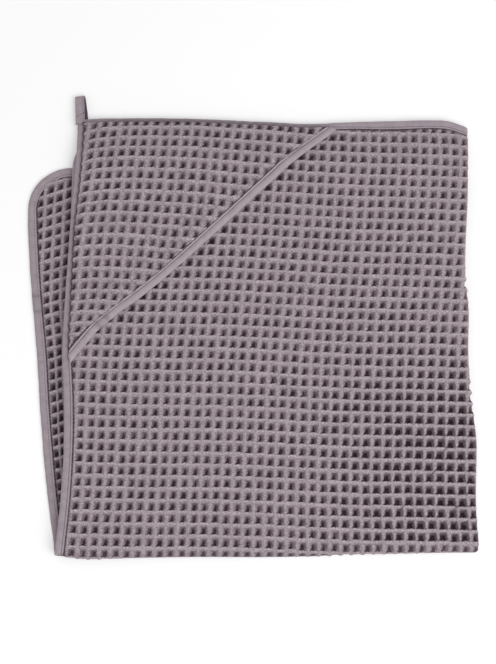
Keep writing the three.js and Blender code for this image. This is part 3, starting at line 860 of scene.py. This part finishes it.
upper = woven_panel(
    "waffle_upper", Weave("upper", 3),
    cell_lines(-19, 22, lambda cell: FINEST), cell_lines(-25, 14, lambda cell: FINE),
    UpperPanel(), ["towel_cloth"], depth=3.7, top=2.1,
)
lower = woven_panel(
    "waffle_lower", LowerWeave("lower", 5),
    cell_lines(-2, 44, lambda cell: FINEST if cell < 5 else MEDIUM),
    cell_lines(-14, 33, lambda cell: FINE),
    LowerPanel(), ["towel_cloth"], depth=3.2, top=2.0,
)
hidden = woven_panel(
    "waffle_hidden", Weave("hidden", 7),
    cell_lines(-18, 21, lambda cell: COARSE), cell_lines(-19, 56, lambda cell: COARSE),
    HiddenPanel(), ["hidden_layers"], depth=2.6, top=1.5,
)
hood = woven_panel(
    "waffle_hood", HoodWeave("hood", 11),
    cell_lines(-8, 18, lambda cell: FINEST), cell_lines(-8, 16, lambda cell: FINE),
    HoodPanel(), ["hood"], depth=3.5, top=2.1,
)

# ---------------------------------------------------------------- the tapes
STATION = 2.5  # length of the tape between two lines of its mesh
STITCH_LINE = 6.4  # from the tape's outer line to its row of stitches
# Painted shade in the stitch groove, over a join and along each seam.
GROOVE_SHADE, JOIN_SHADE, SEAM_SHADE = 0.5, 0.1, 0.28
SEAM_WIDTH = 1.4
EDGE_WANDER = 0.35  # how far the tape wanders on its edge
UNEVEN_BULK = 0.06  # how much fuller it is in some places than in others
JOIN_BULK = 0.2  # and where two lengths overlap
STRAIGHT = 0.9  # a way in counts as straight down from here, where 1 is straight
# The tape's upper half: how far in from its outer line, and how far out of the middle.
TAPE_SECTION = [
    (TAPE_WIDTH, 0.6), (8.4, 1.4), (7.8, 1.72), (7.0, 1.68), (STITCH_LINE, 1.35), (5.8, 1.68),
    (4.6, 1.84), (2.8, 1.84), (1.2, 1.6), (0.3, 1.0), (0.0, 0.0),
]
# How bright a highlight is painted on the tape's nap, by the distance in from its outer line.
TAPE_PAINTED_HIGHLIGHT = [(0, 0.35), (2.8, 0.35), (4.6, 0.1), (STITCH_LINE, 0), (7.4, 0.9)]
TUCK = 7.4  # the hood's binding ends this far inside the towel's edges, under their binding

# Where each tape's ends overlap, as distances up the towel.
EDGE_JOIN = (11.5, 26.0)
HIDDEN_JOIN = (-60.0, -46.0)
HOOD_JOIN = (-6.0, 0.5)


def rolled(x, down):
    """How much narrower the tape shows at a place, where its cloth lies straight down from it."""
    return read(ROLLED_TAPE, "by", x) * (down > STRAIGHT)


class Path:
    """Places along a bound edge: the tape's outer line, the way in from it, and the turn round the
    bottom fold."""

    def __init__(self, x, y, inwards, turn):
        self.x, self.y, self.turn = (np.asarray(v, float) for v in (x, y, turn))
        self.inwards = np.asarray(inwards, float)
        steps = np.hypot(np.diff(self.x), np.diff(self.y))
        steps = steps + np.abs(np.diff(self.turn)) * WRAP_MIDDLE
        self.along = np.concatenate([[0], np.cumsum(steps)])


def leaf_path(sheet, leaf):
    """The edge of one leaf, from the right fold along its far end and down to the bottom fold."""
    radius = sheet.corners[leaf]
    middle_x, middle_y = sheet.left(leaf, 100.0) + radius, 100.0
    for _ in range(6):
        middle_y = sheet.end(leaf, middle_x) - radius
        middle_x = sheet.left(leaf, middle_y) + radius
    past = pi * ROLL_MIDDLE + RETURN if sheet.goes_round else -RETURN - SHORT
    across = np.arange(fold_line(middle_y) + past, middle_x + STATION / 2, -STATION)
    turning = np.linspace(pi / 2, pi, int(radius / STATION) + 6)
    down = np.arange(middle_y - STATION / 2, wrap_line(-180.0) + STATION / 2, -STATION)
    x = [across, middle_x + radius * np.cos(turning), sheet.left(leaf, down)]
    y = [sheet.end(leaf, across), middle_y + radius * np.sin(turning), down]
    in_x = [0 * across, -np.cos(turning), 0 * down + 1]
    in_y = [0 * across - 1, -np.sin(turning), 0 * down]
    inwards = np.stack([np.concatenate(in_x), np.concatenate(in_y)], axis=1)
    return np.concatenate(x), np.concatenate(y), inwards


def bound_edge(sheet):
    upper_x, upper_y, upper_in = leaf_path(sheet, "upper")
    lower_x, lower_y, lower_in = leaf_path(sheet, "lower")
    turns = np.linspace(0, pi, 14 if sheet.goes_round else 6)
    wrap_x = np.interp(turns, (0, pi), (upper_x[-1], lower_x[-1]))
    wrap_in = np.tile((1.0, 0.0), (len(turns), 1))
    return Path(
        np.concatenate([upper_x, wrap_x, lower_x[::-1]]),
        np.concatenate([upper_y, wrap_line(wrap_x), lower_y[::-1]]),
        np.concatenate([upper_in, wrap_in, lower_in[::-1]]),
        np.concatenate([0 * upper_x, turns, 0 * lower_x + pi]),
    )


def tape(name, path, place, node_name, seed, seams, painted_highlight=0.0):
    """A tape folded over a bound edge. `place` takes flat places, a turn and a height out of the
    middle to places in the room. `seams` are where it is joined, on its last stretch. The last
    argument is how much painted highlight it gets where its nap would catch the light, most
    along its fold and its sewn edge."""
    section = np.array(TAPE_SECTION + [(inwards, -out) for inwards, out in TAPE_SECTION[-2::-1]])
    mesh, station, point = grid_mesh(name, len(path.x), len(section))
    x, y, turn, in_x, in_y = (
        line[station] for line in (path.x, path.y, path.turn, *path.inwards.T)
    )
    inwards, out = section[point].T
    outside = out > 0
    # Painted shade in the groove and on the binding against the hood; painted highlight on the nap.
    groove = GROOVE_SHADE * (inwards == STITCH_LINE) * outside
    painted_highlight = painted_highlight * np.interp(inwards, *zip(*TAPE_PAINTED_HIGHLIGHT)) * outside
    on_top = (turn == 0) * (in_y < -STRAIGHT) * outside
    shade = read(BINDING_SHADE, "by", x) * on_top * (0.2 + 0.8 * smooth(inwards / 2.5))
    inwards = inwards - rolled(x, -in_y) * smooth((inwards - 3) / 3)
    chance = np.random.default_rng(seed)
    worn = np.convolve(chance.normal(0, 1, len(path.x) + 6), np.ones(7) / 7, "valid")
    inwards = inwards + EDGE_WANDER * worn[station] * (inwards < 7.0)
    last = turn >= path.turn[-1]
    # Over a join the tape is fuller and in painted shade, and along each seam in painted shade.
    join = smooth(1.2 - np.abs(y - np.mean(seams)) / np.ptp(seams) * 1.2) * last
    painted_shade = sum(SEAM_SHADE * np.exp(-(((y - seam) / SEAM_WIDTH) ** 2)) * last for seam in seams)
    looks_up = np.cos(turn) * out > 0
    out = out * (1 + (UNEVEN_BULK * worn[::-1][station] + JOIN_BULK * join) * looks_up)
    places = place(x + in_x * inwards, y + in_y * inwards, turn, out)
    round_tape = np.cumsum(np.r_[0, np.hypot(*np.diff(section, axis=0).T)])
    form = (painted_shade + groove + shade + JOIN_SHADE * join, painted_highlight, 0 * join)
    shape_mesh(mesh, places, round_tape[point], path.along[station], form)
    face_out(mesh)
    piece = new_piece(name, mesh, TAPE_FINISH, [node_name])
    thicken(piece, TAPE_SKIN)
    return piece


def face_out(mesh):
    """Turns a strip's faces out if its grid was laid the other way round."""
    high = max(mesh.polygons, key=lambda face: face.center.z)
    if high.normal.z < 0:
        mesh.flip_normals()


OUTER_EDGE = bound_edge(OUTER)
INNER_EDGE = bound_edge(INNER)


def hood_edge():
    steps = np.linspace(0, 7, 130)
    x, y = read(HOOD_DIAGONAL, "x", steps), read(HOOD_DIAGONAL, "y", steps)
    run = np.stack([np.gradient(x), np.gradient(y)], axis=1)
    run /= np.linalg.norm(run, axis=1, keepdims=True)
    return Path(x, y, np.stack([run[:, 1], -run[:, 0]], axis=1), 0 * x)


HOOD_EDGE = hood_edge()


def place_on_hood(x, y, turn, out):
    """On the hood, and cut along the towel's binding, under which both its ends are sewn."""
    y = np.minimum(y, read(ENDS, "top", x) - TUCK + read(ROLLED_TAPE, "by", x))
    x = np.maximum(x, read(SIDES, "upper", y) + TUCK)
    return on_upper_panel(x, y, HOOD_LIFT + out)


edge_tape = tape("tape_edge", OUTER_EDGE, OUTER.fold, "edge_binding", 13, EDGE_JOIN)
hidden_tape = tape("tape_hidden", INNER_EDGE, INNER.fold, "hidden_binding", 17, HIDDEN_JOIN)
hood_tape = tape("tape_hood", HOOD_EDGE, place_on_hood, "hood_binding", 19, HOOD_JOIN, painted_highlight=0.75)

LOOP_WIDTH = 8.8
LOOP_X = -165.4
LOOP_STEP = 5.0  # tape between two rows of its line
LOOP_SLANT = 0.12  # the loop leans, so that its right side reaches further
# The hanging loop's line, from where its upper leg is sewn on the corner, over the eye and back
# under the corner.
LOOP_LINE = [
    dict(at=0, y=193.6, z=8.1, aside=0), dict(at=1, y=197.5, z=8.2, aside=0),
    dict(at=2, y=201.5, z=7.9, aside=-0.2), dict(at=3, y=207, z=6.9, aside=-0.5),
    dict(at=4, y=213, z=6.3, aside=-0.8), dict(at=5, y=219.8, z=6.2, aside=-1.1),
    dict(at=6, y=222.2, z=5.2, aside=-0.9), dict(at=7, y=223.0, z=3.4, aside=-0.7),
    dict(at=8, y=222.2, z=1.6, aside=-0.5), dict(at=9, y=219.8, z=0.7, aside=-0.2),
    dict(at=10, y=209, z=0.6, aside=1.4), dict(at=11, y=203.5, z=1.8, aside=2.1),
    dict(at=12, y=197, z=3.0, aside=2.5), dict(at=13, y=191.5, z=3.1, aside=2.5),
]


def hanging_loop():
    steps = np.linspace(0, 13, 105)
    widths = np.linspace(-1, 1, 19)
    mesh, across, along = grid_mesh("tape_loop", len(widths), len(steps))
    side = widths[across] * LOOP_WIDTH / 2
    at = steps[along]
    y, z, aside = (read(LOOP_LINE, key, at) for key in ("y", "z", "aside"))
    free = smooth((y - 199) / 10)

    def mark(distance, width=0.5):
        """A line on the upper leg, pressed in, painted with shade, or both."""
        return np.exp(-((distance / width) ** 2)) * (at < 6)

    # Painted shade on the fold, the stitch row and the foot's seam, and on the back leg beneath.
    fold_mark = mark(side - 3.1, 0.45)
    seam = mark(y - 203.7 - 0.45 * side)
    foot = mark(y - 194.4)
    back_leg_shade = 0.9 * smooth((at - 6.5) / 1.5)
    painted_shade = np.clip(0.55 * fold_mark + 0.6 * seam + 0.6 * foot + back_leg_shade, 0, 1)
    places = LOOP_X + aside + side, y + LOOP_SLANT * side * free, z - 0.25 * fold_mark - 0.2 * seam
    shape_mesh(mesh, places, side, at * LOOP_STEP, (painted_shade, 0 * painted_shade, 0 * painted_shade))
    piece = new_piece("tape_loop", mesh, TAPE_FINISH, ["hanging_loop"])
    thicken(piece, LOOP_SKIN, offset=0)
    return piece


loop_tape = hanging_loop()

# ---------------------------------------------------------------- the stitches
STITCH_PITCH = 3.0
STITCH_LENGTH = 2.2
STITCH_WIDTH = 0.4
STITCH_HEIGHT = 1.45  # out of the middle of the bound edge, in the tape's groove


def stitch_row(name, starts, ends, width=STITCH_WIDTH):
    """A row of stitches as one mesh: each is a slim bead of thread from a start to an end."""
    row = bmesh.new()
    for start, end in zip(starts, ends):
        run = Vector(end - start) * MM
        turn = run.to_track_quat("Z", "Y").to_matrix().to_4x4()
        size = Matrix.Diagonal((width * MM / 2, width * MM / 2, run.length / 2, 1))
        middle = Matrix.Translation(Vector((start + end) / 2) * MM)
        place = middle @ turn @ size
        bmesh.ops.create_uvsphere(row, u_segments=5, v_segments=3, radius=1, matrix=place)
    mesh = bpy.data.meshes.new(name)
    row.to_mesh(mesh)
    row.free()
    mesh.shade_smooth()
    return new_piece(name, mesh, THREAD_FINISH, [])


def stitches_along(name, path, place):
    """Stitches along a tape's groove, on the face of it that looks up."""
    starts = np.arange(2.0, path.along[-1] - STITCH_LENGTH, STITCH_PITCH)

    def lay(distances):
        x, y, turn, in_x, in_y = (
            np.interp(distances, path.along, line)
            for line in (path.x, path.y, path.turn, *path.inwards.T)
        )
        out = np.where(turn > pi / 2, -STITCH_HEIGHT, STITCH_HEIGHT)
        inwards = STITCH_LINE - rolled(x, -in_y)
        return np.stack(place(x + in_x * inwards, y + in_y * inwards, turn, out), axis=1)

    return stitch_row(name, lay(starts), lay(starts + STITCH_LENGTH))


edge_stitches = stitches_along("stitches_edge", OUTER_EDGE, OUTER.fold)
hood_stitches = stitches_along("stitches_hood", HOOD_EDGE, place_on_hood)

# Snags: threads pulled out of the weave, which cross the corner where two ridges meet. Their dark
# thread colour is painted shade for the groove that each pull leaves.
SNAGS = [
    dict(x=184, y=-109.7), dict(x=185.6, y=-121), dict(x=174, y=-142.7), dict(x=143.4, y=-176.4),
    dict(x=194.3, y=-176.4), dict(x=203.5, y=-190.4),
]
SNAG_REACH = np.array([2.6, 2.6, 0.3])  # from its middle to its end
SNAG_WIDTH = 1.0
RIDGE_TOP = 2.1  # the ridges' height over the middle of the upper panel's wall


def snags():
    x, y = (np.array([snag[axis] for snag in SNAGS], float) for axis in ("x", "y"))
    places = np.stack(OUTER.fold(x, y, 0 * x, RIDGE_TOP), axis=1)
    return stitch_row("snags", places - SNAG_REACH, places + SNAG_REACH, SNAG_WIDTH)


pulled_threads = snags()

# ---------------------------------------------------------------- camera, floor and light
# In metres here.
LENS, SENSOR = 65, 36
CAMERA_TILT = radians(5)  # from straight down
CAMERA_DISTANCE = 1.15
AIM = (-0.0017, -0.0094, 0.010)
FLOOR_SIZE = 8
WHITE = (1, 1, 1, 1)
KEY_PLACE = (0.9, -0.8, 1.9)  # a wide soft light from the lower right
KEY_SIZE, KEY_POWER = 2.0, 28


def studio():
    camera = place_in_scene("camera", bpy.data.cameras.new("camera"))
    camera.data.lens, camera.data.sensor_width = LENS, SENSOR
    back = Vector((0, -sin(CAMERA_TILT), cos(CAMERA_TILT))) * CAMERA_DISTANCE
    camera.location = Vector(AIM) + back
    camera.rotation_euler = (CAMERA_TILT, 0, 0)
    bpy.context.scene.camera = camera

    mesh, _, _ = grid_mesh("floor", 2, 2)
    mesh.transform(Matrix.Scale(FLOOR_SIZE, 4))
    floor = place_in_scene("floor", mesh)
    paper, tree, shader = new_finish("white_paper")
    feed(tree, shader, {
        "Base Color": linear("#fafafa"), "Roughness": 0.9, "Emission Color": WHITE,
        "Emission Strength": 0.2,
    })
    mesh.materials.append(paper)

    world = bpy.data.worlds.new("studio")
    world.use_nodes = True
    feed(world.node_tree, world.node_tree.nodes["Background"], {"Color": WHITE, "Strength": 0.5})
    bpy.context.scene.world = world

    key = place_in_scene("key", bpy.data.lights.new("key", "AREA"))
    key.data.size, key.data.energy = KEY_SIZE, KEY_POWER
    key.location = KEY_PLACE
    key.rotation_euler = Vector(KEY_PLACE).to_track_quat("Z", "Y").to_euler()
    bpy.context.scene.view_settings.view_transform = "Standard"


studio()
